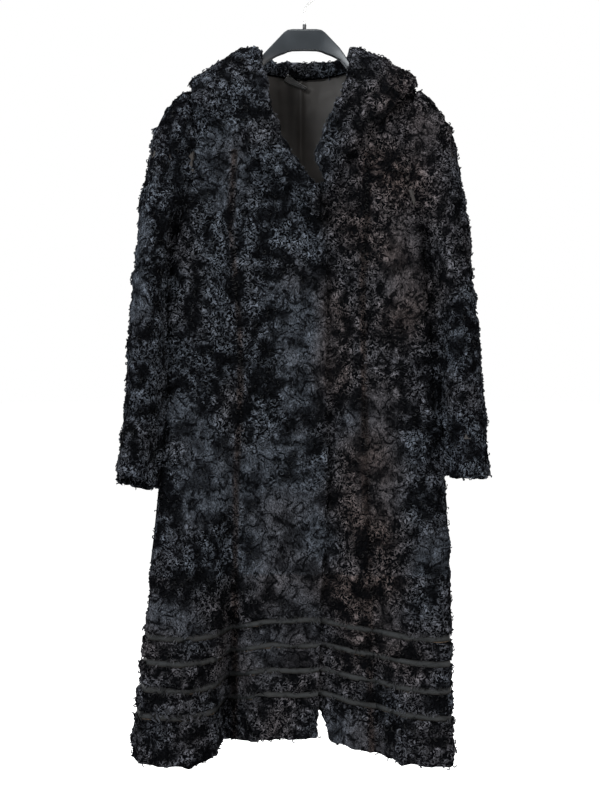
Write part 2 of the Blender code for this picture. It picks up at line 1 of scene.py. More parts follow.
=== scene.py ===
"""A long black curly-lamb coat on its hanger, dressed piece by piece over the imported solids.

Lengths are in metres. Z is up, the rail carries the hook at the origin, and the coat faces -Y.
"""

import math

import bmesh
import bpy
import numpy as np
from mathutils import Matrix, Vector, noise
from mathutils.bvhtree import BVHTree


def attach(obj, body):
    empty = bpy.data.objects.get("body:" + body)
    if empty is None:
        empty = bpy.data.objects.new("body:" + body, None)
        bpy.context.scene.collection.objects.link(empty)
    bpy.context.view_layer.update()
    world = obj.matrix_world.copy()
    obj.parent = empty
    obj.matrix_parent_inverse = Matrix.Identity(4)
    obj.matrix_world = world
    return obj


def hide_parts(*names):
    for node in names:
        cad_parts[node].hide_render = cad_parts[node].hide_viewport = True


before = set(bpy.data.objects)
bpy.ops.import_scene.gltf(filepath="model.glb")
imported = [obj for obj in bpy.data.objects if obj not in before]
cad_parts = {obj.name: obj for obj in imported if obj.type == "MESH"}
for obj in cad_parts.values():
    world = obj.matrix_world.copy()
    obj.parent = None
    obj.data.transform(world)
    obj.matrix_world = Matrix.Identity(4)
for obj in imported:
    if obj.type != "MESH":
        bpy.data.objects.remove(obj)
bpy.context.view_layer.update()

# ---------------------------------------------------------------------------------------------
# The studio. A level camera stands 2.4 m in front of the coat at half its height. A pale floor
# lies below the hem, and large soft lights stand to both sides.
# ---------------------------------------------------------------------------------------------
EYE = (-0.0074, -2.4, -0.6996)
LENS, SENSOR = 65.45, 36
FLOOR_Z, FLOOR_RADIUS = -1.75, 400

bpy.ops.object.camera_add(location=EYE, rotation=(math.pi / 2, 0, 0))
camera = bpy.context.object
camera.name = "photo_camera"
camera.data.lens = LENS
camera.data.sensor_width = SENSOR
bpy.context.scene.camera = camera

world = bpy.data.worlds.new("white_room")
bpy.context.scene.world = world
world.use_nodes = True
room = world.node_tree
# The walls look white, and throw less light than they show.
seen = room.nodes.new("ShaderNodeLightPath")
glow = room.nodes.new("ShaderNodeMapRange")
glow.inputs["To Min"].default_value = 0.32
glow.inputs["To Max"].default_value = 1.0
room.links.new(seen.outputs["Is Camera Ray"], glow.inputs["Value"])
room.links.new(glow.outputs["Result"], room.nodes["Background"].inputs["Strength"])
room.nodes["Background"].inputs["Color"].default_value = (1.0, 1.0, 1.0, 1)
bpy.context.scene.view_settings.view_transform = "Standard"

bpy.ops.mesh.primitive_circle_add(
    vertices=96, radius=FLOOR_RADIUS, fill_type="NGON", location=(0, 0, FLOOR_Z),
)
floor = bpy.context.object
floor.name = "studio_floor"
paint = bpy.data.materials.new("pale_floor")
paint.use_nodes = True
finish = paint.node_tree.nodes["Principled BSDF"].inputs
finish["Base Color"].default_value = (0.95, 0.95, 0.95, 1)
finish["Roughness"].default_value = 0.95
finish["Emission Color"].default_value = (1, 1, 1, 1)
finish["Emission Strength"].default_value = 0.72
floor.data.materials.append(paint)


def soft_light(name, place, aim, size, watts, color=(1, 1, 1)):
    bpy.ops.object.light_add(type="AREA", location=place)
    light = bpy.context.object
    light.name = name
    light.data.shape = "RECTANGLE"
    light.data.size, light.data.size_y = size
    light.data.energy = watts
    light.data.color = color
    light.rotation_euler = (Vector(aim) - Vector(place)).to_track_quat("-Z", "Y").to_euler()


soft_light("window", (-1.9, -2.5, 1.1), (0, 0, -0.6), (1.1, 1.1), 190, (0.93, 0.97, 1.0))
soft_light("lamp", (2.4, -2.0, 0.2), (0, 0, -0.7), (0.8, 1.6), 50, (1.0, 0.95, 0.92))
soft_light("overhead", (0, -0.5, 1.5), (0, 0, -0.6), (1.6, 0.7), 60)
soft_light("behind", (0.6, 2.8, 0.4), (0, 0, -0.7), (2.0, 2.0), 50)


# ---------------------------------------------------------------------------------------------
# The pelts. Each panel, sleeve and collar leaf is lambskin with the hair outside, cut to shape
# and sewn edge to edge from behind, with a dark lining over the skin. The hair is black. Its cool
# gloss is painted into its colour as highlight, with painted shade in its creases. It stands in soft
# lumps, and warm brown shows at the seams.
# ---------------------------------------------------------------------------------------------
HAIR, SKIN, EDGE = 0, 1, 2

# Faces that meet at less than BEND are one stretch of a pelt's skin. How far a stretch faces away
# from the body tells its place: under LINED the lined side, then a cut edge, from OUTER the hair.
# A stretch is a cut edge too where most of it lies within SEAM_GAP of another pelt.
BEND = math.radians(42)
LINED, OUTER, MOSTLY = -0.35, 0.3, 0.7
BODY_HALF, BODY_Y = 0.13, 0.005
RING_HALF = 0.035
SEAM_GAP, NOTCH_GAP, TAPE_GROOVE = 0.0020, 0.0045, 0.016

# Above SHOULDER a sleeve's head begins, which is stuffed out. Fur is turned in at a cuff.
SHOULDER, HEAD_RISE = -0.30, 0.003
CUFF_FUR = 0.045

# The hair side: its longest edge, how high its lumps stand and how deep their middle sinks.
SHELL_EDGE = 0.0060
LUMP_RISES, LUMP_DEPTH = (0.0088, 0.0044, 0.0010), 0.0032
FUR_SINK = 0.0019
CREASE = math.radians(48)

# Locks hang over upright seams only, and not over those at the sides.
BRINK_STEEP, BRINK_X = 0.6, 0.19

# Under the arm, the sleeve and the body close up on each other.
UNDER_ARM_Z, UNDER_ARM_X = -0.40, 0.15
UNDER_ARM_REACH, UNDER_ARM_MOST, OPEN_REACH = 0.010, 0.0045, 0.006

# Places on the front, by x and z, with half width and half height.
FLAT_PATCHES = np.array([
    (0.0, -0.61, 0.035, 0.09),
    (-0.03, -0.94, 0.055, 0.11),
    (-0.21, -1.05, 0.035, 0.03),
    (0.12, -0.82, 0.03, 0.06),
    (-0.13, -0.33, 0.03, 0.05),
    (0.16, -0.5, 0.025, 0.07),
])
WARM_PATCHES = np.array([
    (0.14, -0.4, 0.08, 0.26),
    (0.1, -0.9, 0.05, 0.2),
    (0.05, -0.62, 0.03, 0.12),
])
LARGE_PATCHES = np.array([
    (0.17, -1.24, 0.05, 0.03),
    (-0.2, -1.2, 0.04, 0.03),
    (0.02, -0.2, 0.03, 0.1),
])
SEAM_LINES = {
    # height and x, down the long seam of each front
    "right": [
        (-0.30, -0.112), (-0.42, -0.119), (-0.58, -0.104), (-0.70, -0.103), (-0.82, -0.110), (-1.26, -0.115),
    ],
    "left": [(-0.30, 0.102), (-0.42, 0.099), (-0.51, 0.092), (-1.0, 0.1), (-1.26, 0.108)],
}
SEAM_REACH, WARM_BELOW, CREST = 0.007, -0.98, 0.0030


def plain_material(name, color, roughness, **sockets):
    """A Principled material, its nodes and its shader."""
    material = bpy.data.materials.new(name)
    material.use_nodes = True
    tree = material.node_tree
    shader = tree.nodes["Principled BSDF"]
    shader.inputs["Base Color"].default_value = (*color, 1)
    shader.inputs["Roughness"].default_value = roughness
    for socket, value in sockets.items():
        shader.inputs[socket.replace("_", " ")].default_value = value
    return material, tree, shader


def node(tree, kind, settings=(), **inputs):
    """A new node. A socket given as a value is linked, and any other value is set.

    at0 is the first input."""
    made = tree.nodes.new(kind)
    for key, value in dict(settings).items():
        setattr(made, key, value)
    for key, value in inputs.items():
        socket = made.inputs[int(key[2:]) if key.startswith("at") else key.replace("_", " ")]
        if isinstance(value, bpy.types.NodeSocket):
            tree.links.new(value, socket)
        else:
            socket.default_value = value
    return made


def math_node(tree, operation, first, second=0.0, third=0.0):
    made = node(tree, "ShaderNodeMath", {"operation": operation}, at0=first, at1=second, at2=third)
    return made.outputs[0]


def vector_node(tree, operation, first, **inputs):
    return node(tree, "ShaderNodeVectorMath", {"operation": operation}, at0=first, **inputs).outputs[0]


def spread(tree, value, low, high, to_low=0.0, to_high=1.0):
    """Takes what lies from low to high to the new range, and holds it there."""
    made = node(tree, "ShaderNodeMapRange", Value=value, at1=low, at2=high, at3=to_low, at4=to_high)
    return made.outputs["Result"]


def blend_numbers(tree, factor, first, second):
    made = node(tree, "ShaderNodeMix", {"data_type": "FLOAT"}, at0=factor, at2=first, at3=second)
    return made.outputs[0]


def blend_colors(tree, factor, first, second, kind="MIX"):
    settings = {"data_type": "RGBA", "blend_type": kind}
    return node(tree, "ShaderNodeMix", settings, at0=factor, at6=first, at7=second).outputs[2]


def ramp(tree, factor, stops):
    """A color ramp. A stop is its place, and its color or its grey."""
    made = tree.nodes.new("ShaderNodeValToRGB")
    tree.links.new(factor, made.inputs["Fac"])
    while len(made.color_ramp.elements) < len(stops):
        made.color_ramp.elements.new(0.5)
    for element, (place, color) in zip(made.color_ramp.elements, stops):
        element.position = place
        element.color = (*color, 1) if hasattr(color, "__len__") else (color, color, color, 1)
    return made.outputs["Color"]


def bump(tree, shader, height, strength, distance, before=None):
    """Relief on the shader, over the relief of another bump where one is given."""
    made = node(tree, "ShaderNodeBump", Height=height, Strength=strength, Distance=distance)
    if before:
        tree.links.new(before.outputs["Normal"], made.inputs["Normal"])
    tree.links.new(made.outputs["Normal"], shader.inputs["Normal"])
    return made


# The hair's own colour is black. The cool and the warm grey after it are its gloss, painted into the colour
# as highlight.
BLACK_HAIR = (0.0016, 0.0017, 0.0020, 1)
COOL_GLOSS = (0.071, 0.081, 0.097, 1)
WARM_GLOSS = (0.086, 0.068, 0.064, 1)


def hair_colors(tree):
    """The mesh's hair_mix in three numbers, and the color of the hair's gloss, painted in as highlight.

    Red is how much painted highlight the hair has, green how warm, and blue how flat it lies."""
    painted = node(tree, "ShaderNodeAttribute", {"attribute_name": "hair_mix"}).outputs["Color"]
    mix = node(tree, "ShaderNodeSeparateColor", Color=painted)
    return mix, blend_colors(tree, mix.outputs["Green"], COOL_GLOSS, WARM_GLOSS)


under_hair, tree, shader = plain_material(
    "under_hair", (0.012, 0.012, 0.014), 0.62, Specular_IOR_Level=0.0,
)
mix, gloss = hair_colors(tree)
place = node(tree, "ShaderNodeTexCoord").outputs["Object"]
drift = node(tree, "ShaderNodeTexNoise", Vector=place, Scale=70, Detail=2)
shift = vector_node(tree, "SUBTRACT", drift.outputs["Color"], at1=(0.5, 0.5, 0.5))
bent = vector_node(tree, "ADD", place, at1=vector_node(tree, "SCALE", shift, Scale=0.012))
# Each lock lies round a middle of its own, so its strands run round in a spiral.
locks = node(tree, "ShaderNodeTexVoronoi", Vector=bent, Scale=105)
spoke = node(
    tree, "ShaderNodeSeparateXYZ", Vector=vector_node(tree, "SUBTRACT", bent, at1=locks.outputs["Position"]),
)
flank = math_node(tree, "ADD", spoke.outputs["X"], spoke.outputs["Y"])
turn = math_node(tree, "ARCTAN2", spoke.outputs["Z"], flank)
wound = math_node(tree, "MULTIPLY_ADD", locks.outputs["Distance"], 13.0, turn)
spiral = math_node(tree, "MULTIPLY_ADD", math_node(tree, "SINE", wound), 0.5, 0.5)
squiggle = node(
    tree, "ShaderNodeTexNoise", {"noise_type": "RIDGED_MULTIFRACTAL"}, Vector=bent, Scale=145, Detail=1.2,
    Roughness=0.45, Offset=1.0, Gain=1.0, Distortion=1.3,
)
strokes = math_node(tree, "POWER", spread(tree, squiggle.outputs["Fac"], 0.62, 1.1), 1.5)
where = node(tree, "ShaderNodeTexNoise", Vector=place, Scale=34, Detail=1)
which = spread(tree, where.outputs["Fac"], 0.42, 0.58, 0.0, 0.55)
curl = blend_numbers(tree, which, strokes, math_node(tree, "MULTIPLY", spiral, strokes))
# In the flat places the hair is combed down, in fine upright strands.
combed = node(tree, "ShaderNodeMapping", Vector=bent, Scale=(380, 380, 170)).outputs["Vector"]
nap = node(tree, "ShaderNodeTexNoise", Vector=combed, Scale=1, Detail=2, Distortion=1.6)
combed_hair = spread(tree, nap.outputs["Fac"], 0.42, 0.53, 0.08, 1.05)
relief = blend_numbers(tree, mix.outputs["Blue"], curl, math_node(tree, "MULTIPLY", combed_hair, 0.8))
lit = blend_numbers(tree, mix.outputs["Blue"], curl, math_node(tree, "MULTIPLY", combed_hair, 0.75))
# Dark valleys wind between the waves of hair. They sink the relief, and painted shade darkens the hair's
# colour in them.
winding = node(
    tree, "ShaderNodeTexNoise", {"noise_type": "RIDGED_MULTIFRACTAL"}, Vector=bent, Scale=38, Detail=1.0,
    Roughness=0.5, Offset=1.0, Gain=1.0, Distortion=1.0,
)
valley_depth_and_shade = spread(tree, winding.outputs["Fac"], 1.28, 0.92, 0.08, 1.0)
lit = math_node(tree, "MULTIPLY", lit, valley_depth_and_shade)
relief = math_node(tree, "MULTIPLY_ADD", relief, 0.6, valley_depth_and_shade)
# Painted highlight: the hair's grey gloss is painted into its colour, brightest on the curls' strokes and
# the combed strands, and fading into the painted shade of the valleys.
tone = math_node(tree, "MULTIPLY", mix.outputs["Red"], lit)
tree.links.new(blend_colors(tree, tone, BLACK_HAIR, gloss), shader.inputs["Base Color"])
strands = node(tree, "ShaderNodeTexNoise", Vector=bent, Scale=800, Detail=2)
clumps = node(tree, "ShaderNodeTexNoise", Vector=place, Scale=85, Detail=2, Distortion=0.8)
swells = bump(tree, shader, clumps.outputs["Fac"], 1.0, 0.010)
rolls = bump(tree, shader, relief, 1.0, 0.0030, swells)
bump(tree, shader, strands.outputs["Fac"], 0.5, 0.0007, rolls)

coat_lining, tree, shader = plain_material(
    "coat_lining", (0.024, 0.022, 0.020), 0.5, Specular_IOR_Level=0.12,
)
place = node(tree, "ShaderNodeTexCoord").outputs["Object"]
cloud = node(tree, "ShaderNodeTexNoise", Vector=place, Scale=14, Detail=4)
greys = ramp(tree, cloud.outputs["Fac"], [(0.3, (0.016, 0.0145, 0.0135)), (0.7, (0.030, 0.0275, 0.0255))])
tree.links.new(greys, shader.inputs["Base Color"])
warps, wefts = (
    node(tree, "ShaderNodeTexWave", {"bands_direction": way}, Vector=place, Scale=scale, Distortion=0.4)
    for way, scale in (("X", 900), ("Z", 620))
)
weave = math_node(tree, "ADD", warps.outputs["Fac"], wefts.outputs["Fac"])
ripple = bump(tree, shader, cloud.outputs["Fac"], 0.35, 0.004)
bump(tree, shader, weave, 0.15, 0.0002, ripple)


def alone(obj):
    """Leaves this object as the only one selected, and active."""
    for other in bpy.context.selected_objects:
        other.select_set(False)
    obj.select_set(True)
    bpy.context.view_layer.objects.active = obj


def welded_copy(source, name):
    """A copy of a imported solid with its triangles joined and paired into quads."""
    obj = bpy.data.objects.new(name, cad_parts[source].data.copy())
    obj.data.name = name
    bpy.context.scene.collection.objects.link(obj)
    alone(obj)
    bpy.ops.object.mode_set(mode="EDIT")
    bpy.ops.mesh.select_all(action="SELECT")
    bpy.ops.mesh.remove_doubles(threshold=0.00001)
    bpy.ops.mesh.customdata_custom_splitnormals_clear()
    loosely = math.radians(60)
    bpy.ops.mesh.tris_convert_to_quads(face_threshold=loosely, shape_threshold=loosely)
    bpy.ops.object.mode_set(mode="OBJECT")
    obj.data.materials.clear()
    return obj


def crease_corners(obj, angle):
    """Marks every edge sharper than the angle, so that subdivision keeps it."""
    form = bmesh.new()
    form.from_mesh(obj.data)
    layers = form.edges.layers.float
    crease = layers.get("crease_edge") or layers.new("crease_edge")
    for edge in form.edges:
        if len(edge.link_faces) != 2 or edge.calc_face_angle(0) > angle:
            edge[crease] = 1
    form.to_mesh(obj.data)
    form.free()


def subdivide(obj, levels):
    alone(obj)
    rounding = obj.modifiers.new("rounding", "SUBSURF")
    rounding.levels = rounding.render_levels = levels
    bpy.ops.object.modifier_apply(modifier="rounding")


def cut_finely(form, longest, wanted):
    """Cuts the wanted faces until no edge of theirs is longer than this."""
    for _ in range(4):
        long = [e for e in form.edges if e.calc_length() > longest]
        long = [e for e in long if any(wanted(f) for f in e.link_faces)]
        if not long:
            break
        bmesh.ops.subdivide_edges(form, edges=long, cuts=1, use_grid_fill=True)


def tree_of(names):
    """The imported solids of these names, in one tree for casts and distances."""
    points, faces = [], []
    for name in names:
        base = len(points)
        points += [v.co.copy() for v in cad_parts[name].data.vertices]
        faces += [tuple(base + i for i in p.vertices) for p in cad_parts[name].data.polygons]
    return BVHTree.FromPolygons(points, faces)


everything = tree_of(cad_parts)


def cover(point, normal, reach):
    """How far off another solid lies over this point of a surface, if it is within reach."""
    start, gone, step = point, 0.0, 0.0002
    for _ in range(3):
        hit, facing, _, far = everything.ray_cast(start, normal, reach - gone)
        if hit is None:
            return None
        if facing.dot(normal) < 0:
            return gone + far
        start = hit + normal * step
        gone += far + step
        if gone >= reach:
            return None
    return None


def near_body(x):
    """The nearest x on the line that runs across inside the body."""
    return max(-BODY_HALF, min(x, BODY_HALF))


def stretches(form):
    """The form's faces in groups that run on without a corner between them."""
    seen = set()
    for first in form.faces:
        if first in seen:
            continue
        group, queue = [], [first]
        seen.add(first)
        while queue:
            face = queue.pop()
            group.append(face)
            for edge in face.edges:
                if edge.calc_face_angle(math.pi) > BEND:
                    continue
                for other in edge.link_faces:
                    if other not in seen:
                        seen.add(other)
                        queue.append(other)
        yield group


def sort_faces(obj, tube):
    """Puts each face on the hair side, on the lined side, or on a cut edge between them.

    In a tube's cuff the hair side runs on inwards."""
    form = bmesh.new()
    form.from_mesh(obj.data)
    points = np.array([v.co for v in form.verts])
    cuff_top = points[:, 2].min() + CUFF_FUR
    for group in stretches(form):
        total = facing = sewn = 0
        for face in group:
            middle = face.calc_center_median()
            height = min(middle.z, SHOULDER)
            if tube:
                centre = Vector(points[np.abs(points[:, 2] - height) < RING_HALF].mean(0))
                centre.z = height
            else:
                centre = Vector((near_body(middle.x), BODY_Y, height))
            out = middle - centre
            area = face.calc_area()
            total += area
            facing += area * face.normal.dot(out.normalized())
            sewn += area * (cover(middle, face.normal, SEAM_GAP) is not None)
        place = SKIN if facing / total < LINED else EDGE if facing / total < OUTER else HAIR
        if sewn > MOSTLY * total:
            place = EDGE
        for face in group:
            turned_in = tube and place == SKIN and face.calc_center_median().z < cuff_top
            face.material_index = HAIR if turned_in else place
    form.to_mesh(obj.data)
    form.free()


def within(value, low=0.0, high=1.0):
    return min(max(value, low), high)


def patch(table, p):
    """How much a place on the front lies in the table's patches, 0 to 1."""
    if p[1] > 0.02:
        return 0.0
    far = np.hypot((table[:, 0] - p[0]) / table[:, 2], (table[:, 1] - p[2]) / table[:, 3]).min()
    return within(1.6 - far)


def off_seam(p):
    """How far a place on the front is from the nearer front seam."""
    if p[1] > 0.0 or p[2] > SHOULDER:
        return 1.0
    line = np.array(SEAM_LINES["right" if p[0] < 0 else "left"])[::-1]
    return abs(p[0] - np.interp(p[2], line[:, 0], line[:, 1]))


def lumps(p):
    """How far the hair stands up here, in soft lumps with creases between them."""
    broad, narrow, fine = LUMP_RISES
    first = abs(noise.noise(p * 25))
    second = abs(noise.noise(p * 55 + Vector((5, 1, 3))))
    return broad * first + narrow * second + fine * noise.noise(p * 130) - LUMP_DEPTH


def hair_mix(p):
    """How much painted highlight, how warm and how flat the hair is at a place.

    Painted shade makes it darkest in the creases between the lumps. It is warmer toward the hem and at the
    seams."""
    p = Vector(p)
    broad = noise.noise(p * 9 + Vector((2, 7, 1)))
    cloud = 0.6 * noise.noise(p * 26 + Vector((1, 4, 2)))
    cloud += 0.9 * noise.noise(Vector((p.x * 62, p.y * 62, p.z * 48)))
    flat = max(0.85 * patch(FLAT_PATCHES, p), within((broad - 0.30) * 5) * 0.7)
    # Painted shade: the painted highlight fades away down into the creases between the lumps.
    crease_shade = within(0.1 + (lumps(p) + LUMP_DEPTH) / CREST)
    pale = within(0.86 + 3.0 * cloud, 0.06) * crease_shade
    pale = pale * (1 - 0.6 * flat) + 0.6 * flat * within(0.68 + 0.6 * cloud)
    warm = 0.75 * patch(WARM_PATCHES, p) + 0.5 * noise.noise(p * 13 + Vector((5, 5, 5)))
    warm += 0.3 * (p.z < WARM_BELOW)
    by_seam = max(0.0, 1 - off_seam(p) / SEAM_REACH)
    return pale * (1 - 0.6 * by_seam), within(warm + by_seam), flat


def paint_mesh(mesh, colors):
    """Gives every point of the mesh its hair_mix."""
    hair = mesh.attributes.new("hair_mix", "FLOAT_COLOR", "POINT")
    hair.data.foreach_set("color", np.concatenate([colors, np.ones((len(colors), 1))], 1).ravel())


def mean_normal(vertex, place):
    """The normal of the vertex's faces of this place, or zero."""
    total = Vector((0, 0, 0))
    for face in vertex.link_faces:
        if face.material_index == place:
            total += face.normal * face.calc_area()
    return total.normalized()


def to_neighbour(point, near, gap, tube):
    """A move that shuts a seam's gap. A sleeve goes all the way over, and panels meet between them."""
    return (near - point).normalized() * (gap + 0.0002 if tube else 0.9 * gap + 0.0003)


def round_off(form, haired, beside):
    """Smooths the facets of the hair side away, all but its corners and its seams."""
    inner = [v for v in haired if v not in beside and all(f.material_index == HAIR for f in v.link_faces)]
    flat = [v for v in inner if all(e.calc_face_angle(0) < math.radians(50) for e in v.link_edges)]
    for _ in range(6):
        bmesh.ops.smooth_vert(
            form, verts=flat, factor=0.5, use_axis_x=True, use_axis_y=True, use_axis_z=True,
        )
    form.normal_update()


def raise_hair(v, closes, tube):
    """How far a vertex of the hair side moves out."""
    normal = mean_normal(v, HAIR)
    under_arm = closes and v.co.z < UNDER_ARM_Z and abs(v.co.x) > UNDER_ARM_X
    over = cover(v.co, normal, UNDER_ARM_REACH if under_arm else OPEN_REACH)
    if over is None:
        return normal * (lumps(v.co) - FUR_SINK + HEAD_RISE * (tube and v.co.z > SHOULDER))
    return normal * (min(over / 2 + 0.0004, UNDER_ARM_MOST) if under_arm else -0.0003)


def fur_shell(obj, closes, tube, others):
    """Rounds the facets off the hair side, cuts it finely, raises its lumps and draws its seams shut.

    It gives back where the hair hangs over a seam: places, outwards, and the way across."""
    form = bmesh.new()
    form.from_mesh(obj.data)
    cut_finely(form, SHELL_EDGE, lambda f: f.material_index == HAIR)
    haired = [v for v in form.verts if any(f.material_index == HAIR for f in v.link_faces)]
    beside = {}
    for v in haired:
        near, _, _, gap = others.find_nearest(v.co, SEAM_GAP)
        if near is not None and (near - v.co).dot(v.normal) > -0.2 * gap:
            beside[v] = to_neighbour(v.co, near, gap, tube)
    round_off(form, haired, beside)
    moves = {v: raise_hair(v, closes, tube) for v in haired}
    moves.update(beside)
    brinks = []
    for v in form.verts:
        cut, out = mean_normal(v, EDGE), mean_normal(v, HAIR)
        if cut.length_squared == 0:
            continue
        near, wall, _, gap = others.find_nearest(v.co, NOTCH_GAP)
        if near is not None:
            if (near - v.co).dot(cut) > 0.2 * gap:
                moves[v] = to_neighbour(v.co, near, gap, tube)
            if out.length_squared > 0:
                level = within((-wall.dot(cut) - 0.7) * 5)
                moves[v] = moves.get(v, Vector()) + out * (lumps(v.co) - FUR_SINK) * level
                if abs(cut.z) < BRINK_STEEP and abs(v.co.x) < BRINK_X:
                    brinks.append((v, out, cut))
        elif out.length_squared > 0 and cover(v.co, cut, TAPE_GROOVE) is None:
            moves[v] = moves.get(v, Vector()) + cut * lumps(v.co * 1.3)
    for v, move in moves.items():
        v.co += move
    brinks = [(v.co.copy(), out, cut) for v, out, cut in brinks]
    bmesh.ops.triangulate(form, faces=form.faces)
    form.to_mesh(obj.data)
    form.free()
    # Cut edges and the whole of a sleeve's head are dark, whichever way they face.
    for face in obj.data.polygons:
        if face.material_index == EDGE or (tube and face.center.z > SHOULDER):
            face.material_index = HAIR
    obj.data.shade_smooth()
    paint_mesh(obj.data, np.array([hair_mix(v.co) for v in obj.data.vertices]))
    return brinks


PELTS = {
    # node: a tube, closes up on a neighbour, the cut's width and length, and its area
    "right_front": (False, False, 0.152, 1.12, 0.138),
    "right_side_front": (False, True, 0.215, 1.14, 0.143),
    "left_front": (False, False, 0.140, 1.13, 0.110),
    "left_side_front": (False, True, 0.185, 1.14, 0.130),
    "back": (False, True, 0.665, 1.13, 0.572),
    "right_sleeve": (True, True, 0.300, 0.63, 0.140),
    "left_sleeve": (True, True, 0.300, 0.61, 0.143),
    "right_collar": (False, False, 0.165, 0.47, 0.063),
    "left_collar": (False, False, 0.160, 0.42, 0.056),
}
COLLAR_SEAM = 0.0003

pelts, brinks = {}, {}
for source, (tube, closes, _, _, _) in PELTS.items():
    pelt = welded_copy(source, source + "_pelt")
    pelt.data.materials.append(under_hair)
    pelt.data.materials.append(coat_lining)
    if source.endswith("collar"):
        for face in pelt.data.polygons:
            if abs(face.center.x) < COLLAR_SEAM:
                face.material_index = EDGE
    else:
        sort_faces(pelt, tube)
    crease_corners(pelt, CREASE)
    subdivide(pelt, 1)
    others = tree_of(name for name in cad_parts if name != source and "_tape_" not in name)
    brinks[source] = fur_shell(pelt, closes, tube, others)
    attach(pelt, "root")
    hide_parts(source)
    pelts[source] = pelt


# ---------------------------------------------------------------------------------------------
# The curls. The hair lies in small tight locks that turn over on themselves, many of them round
# a shared middle. They are thinner where the hair is painted darkest, and hang over the tapes' edges.
# ---------------------------------------------------------------------------------------------
CURL_SPACING, CURL_CLEAR, ROSETTE = 0.0068, 0.0042, 0.021
MOST_LOCKS = 9000
chance = np.random.default_rng(7)

# Along a lock, from its root: how far round it has gone, how wide it is, and its painted light,
# from painted shade at the root to a painted highlight at the tip.
CURL_TURNS = (0.0, 0.28, 0.55, 0.8, 1.0)
CURL_WIDTHS = (0.5, 1.0, 0.95, 0.6)
CURL_PAINTED_LIGHT = (0.2, 0.6, 0.85, 1.0, 1.1)

# A curled lock's least and most, and the values of one that lies almost straight.
CURL_RADIUS, STRAIGHT_RADIUS, OVERHANG_RADIUS = (0.0022, 0.0036), 0.0075, 0.009
CURL_SWEEP, STRAIGHT_SWEEP = (2.2, 4.6), (0.6, 1.1)
CURL_HALF, STRAIGHT_HALF = (0.0008, 0.0013), 0.0010
CURL_THICK, STRAIGHT_THICK = 0.0010, 0.0007
CURL_TILT, STRAIGHT_TILT = (0, 7), (0, 3)
CURL_SHRINK, STRAIGHT_SHRINK = 0.45, 0.1

LIP_SPACING, LIP_OUT, LIP_OFF = 0.0024, 0.0014, 0.0022


def unit(rows):
    """Each row's direction."""
    return rows / (np.linalg.norm(rows, axis=1)[:, None] + 1e-9)


def across(rows, facing):
    """What of each row lies along the surface, and not out of it."""
    return rows - facing * (rows * facing).sum(1)[:, None]


def apart(spots, spacing):
    """The numbers of the spots that are kept so that no two lie closer than the spacing."""
    cell, kept = {}, []
    for i, spot in enumerate(spots):
        key = tuple(np.floor(spot / spacing).astype(int))
        near = (
            j
            for dx in (-1, 0, 1) for dy in (-1, 0, 1) for dz in (-1, 0, 1)
            for j in cell.get((key[0] + dx, key[1] + dy, key[2] + dz), ())
        )
        if any(((spots[j] - spot) ** 2).sum() < spacing**2 for j in near):
            continue
        cell.setdefault(key, []).append(i)
        kept.append(i)
    return kept


def roots_on(mesh, spacing):
    """Where curls grow on the hair side, evenly apart: places and outward directions."""
    mesh.calc_loop_triangles()
    count = len(mesh.loop_triangles)
    corners = np.empty(count * 3, np.int32)
    mesh.loop_triangles.foreach_get("vertices", corners)
    corners = corners.reshape(-1, 3)
    slots = np.empty(count, np.int32)
    mesh.loop_triangles.foreach_get("material_index", slots)
    corners = corners[slots == HAIR]
    points = np.empty(len(mesh.vertices) * 3)
    mesh.vertices.foreach_get("co", points)
    points = points.reshape(-1, 3)
    a, b, c = points[corners[:, 0]], points[corners[:, 1]], points[corners[:, 2]]
    crossed = np.cross(b - a, c - a)
    areas = np.linalg.norm(crossed, axis=1) / 2
    wanted = int(areas.sum() / spacing**2 * 2.6)
    chosen = chance.choice(len(corners), wanted, p=areas / areas.sum())
    u, v = chance.random(wanted), chance.random(wanted)
    over = u + v > 1
    u[over], v[over] = 1 - u[over], 1 - v[over]
    u, v = u[:, None], v[:, None]
    spots = a[chosen] * (1 - u - v) + b[chosen] * u + c[chosen] * v
    facing = crossed[chosen] / (2 * areas[chosen, None] + 1e-12)
    kept = apart(spots, spacing)
    kept = [i for i in kept if cover(Vector(spots[i]), Vector(facing[i]), CURL_CLEAR) is None]
    return spots[kept], facing[kept]


def lips_of(tape):
    """Where the hair beside a tape starts to hang over it: places, outwards, and the way over it."""
    form = bmesh.new()
    form.from_mesh(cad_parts[tape].data)
    bmesh.ops.remove_doubles(form, verts=form.verts, dist=0.00001)
    found = []
    for edge in form.edges:
        if len(edge.link_faces) != 2:
            continue
        end, front = sorted(edge.link_faces, key=lambda f: -abs(f.normal.z))
        a, b = (v.co for v in edge.verts)
        outwards = Vector((a.x - near_body(a.x), a.y - BODY_Y, 0))
        if abs(end.normal.z) < 0.6 or abs(front.normal.z) > 0.5 or front.normal.dot(outwards) <= 0:
            continue
        up = 1 if end.normal.z > 0 else -1
        share = 0.95 if up > 0 else 0.5
        for _ in range(max(1, round((a - b).length / LIP_SPACING))):
            spot = a.lerp(b, chance.random()) + front.normal * LIP_OUT + Vector((0, 0, LIP_OFF * up))
            if chance.random() < share and noise.noise(spot * 30) > -0.13:
                found.append((spot, front.normal.copy(), Vector((0, 0, -up))))
    form.free()
    return found


